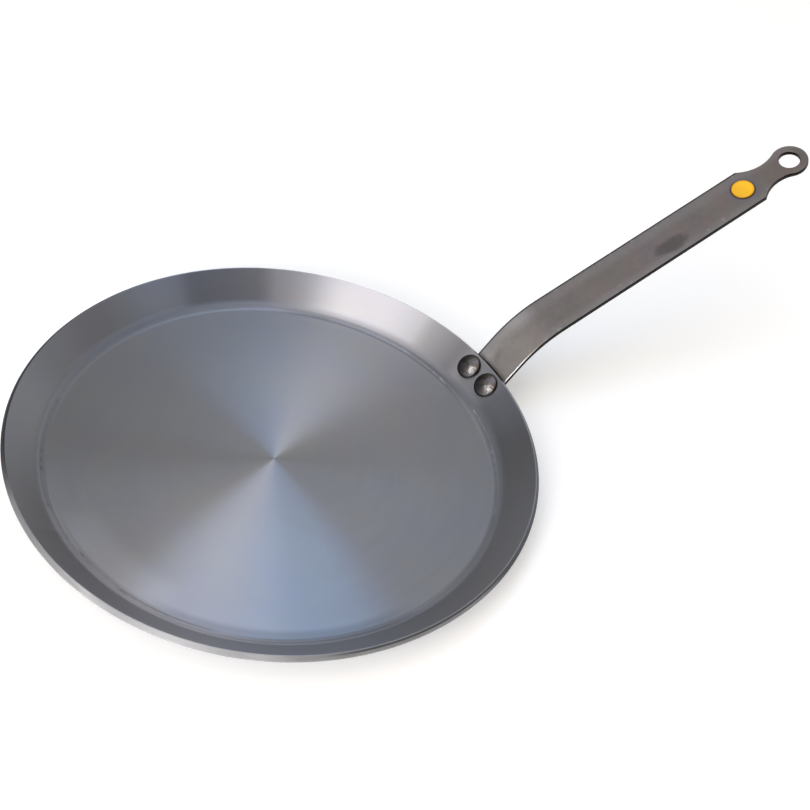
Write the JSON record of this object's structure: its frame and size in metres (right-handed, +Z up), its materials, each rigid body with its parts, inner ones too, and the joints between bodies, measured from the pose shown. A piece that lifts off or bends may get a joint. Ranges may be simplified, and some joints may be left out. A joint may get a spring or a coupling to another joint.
{
  "type": "crepe pan",
  "caption": "Shallow flat-bottomed steel crepe pan with low flared walls and a bent strap handle, riveted on, that ends in a hanging ring.",
  "frame": {"origin": "centre of the pan's flat underside", "axes": "+X from the pan's centre along the handle, +Z up, square to the underside"},
  "size_m": [0.4152, 0.2392, 0.0968],
  "materials": {
    "pan_steel": "bare carbon steel, floor turned in fine circles, satin",
    "handle_steel": "rolled steel strip, satin with faint warm and grey patches",
    "rivet_steel": "dark pressed steel, soft sheen",
    "badge_silicone": "smooth yellow silicone"
  },
  "bodies": {
    "root": {"pan_body": "pan_steel", "handle": "handle_steel", "rivet_left": "rivet_steel", "rivet_right": "rivet_steel", "handle_badge": "badge_silicone"}
  },
  "joints": []
}
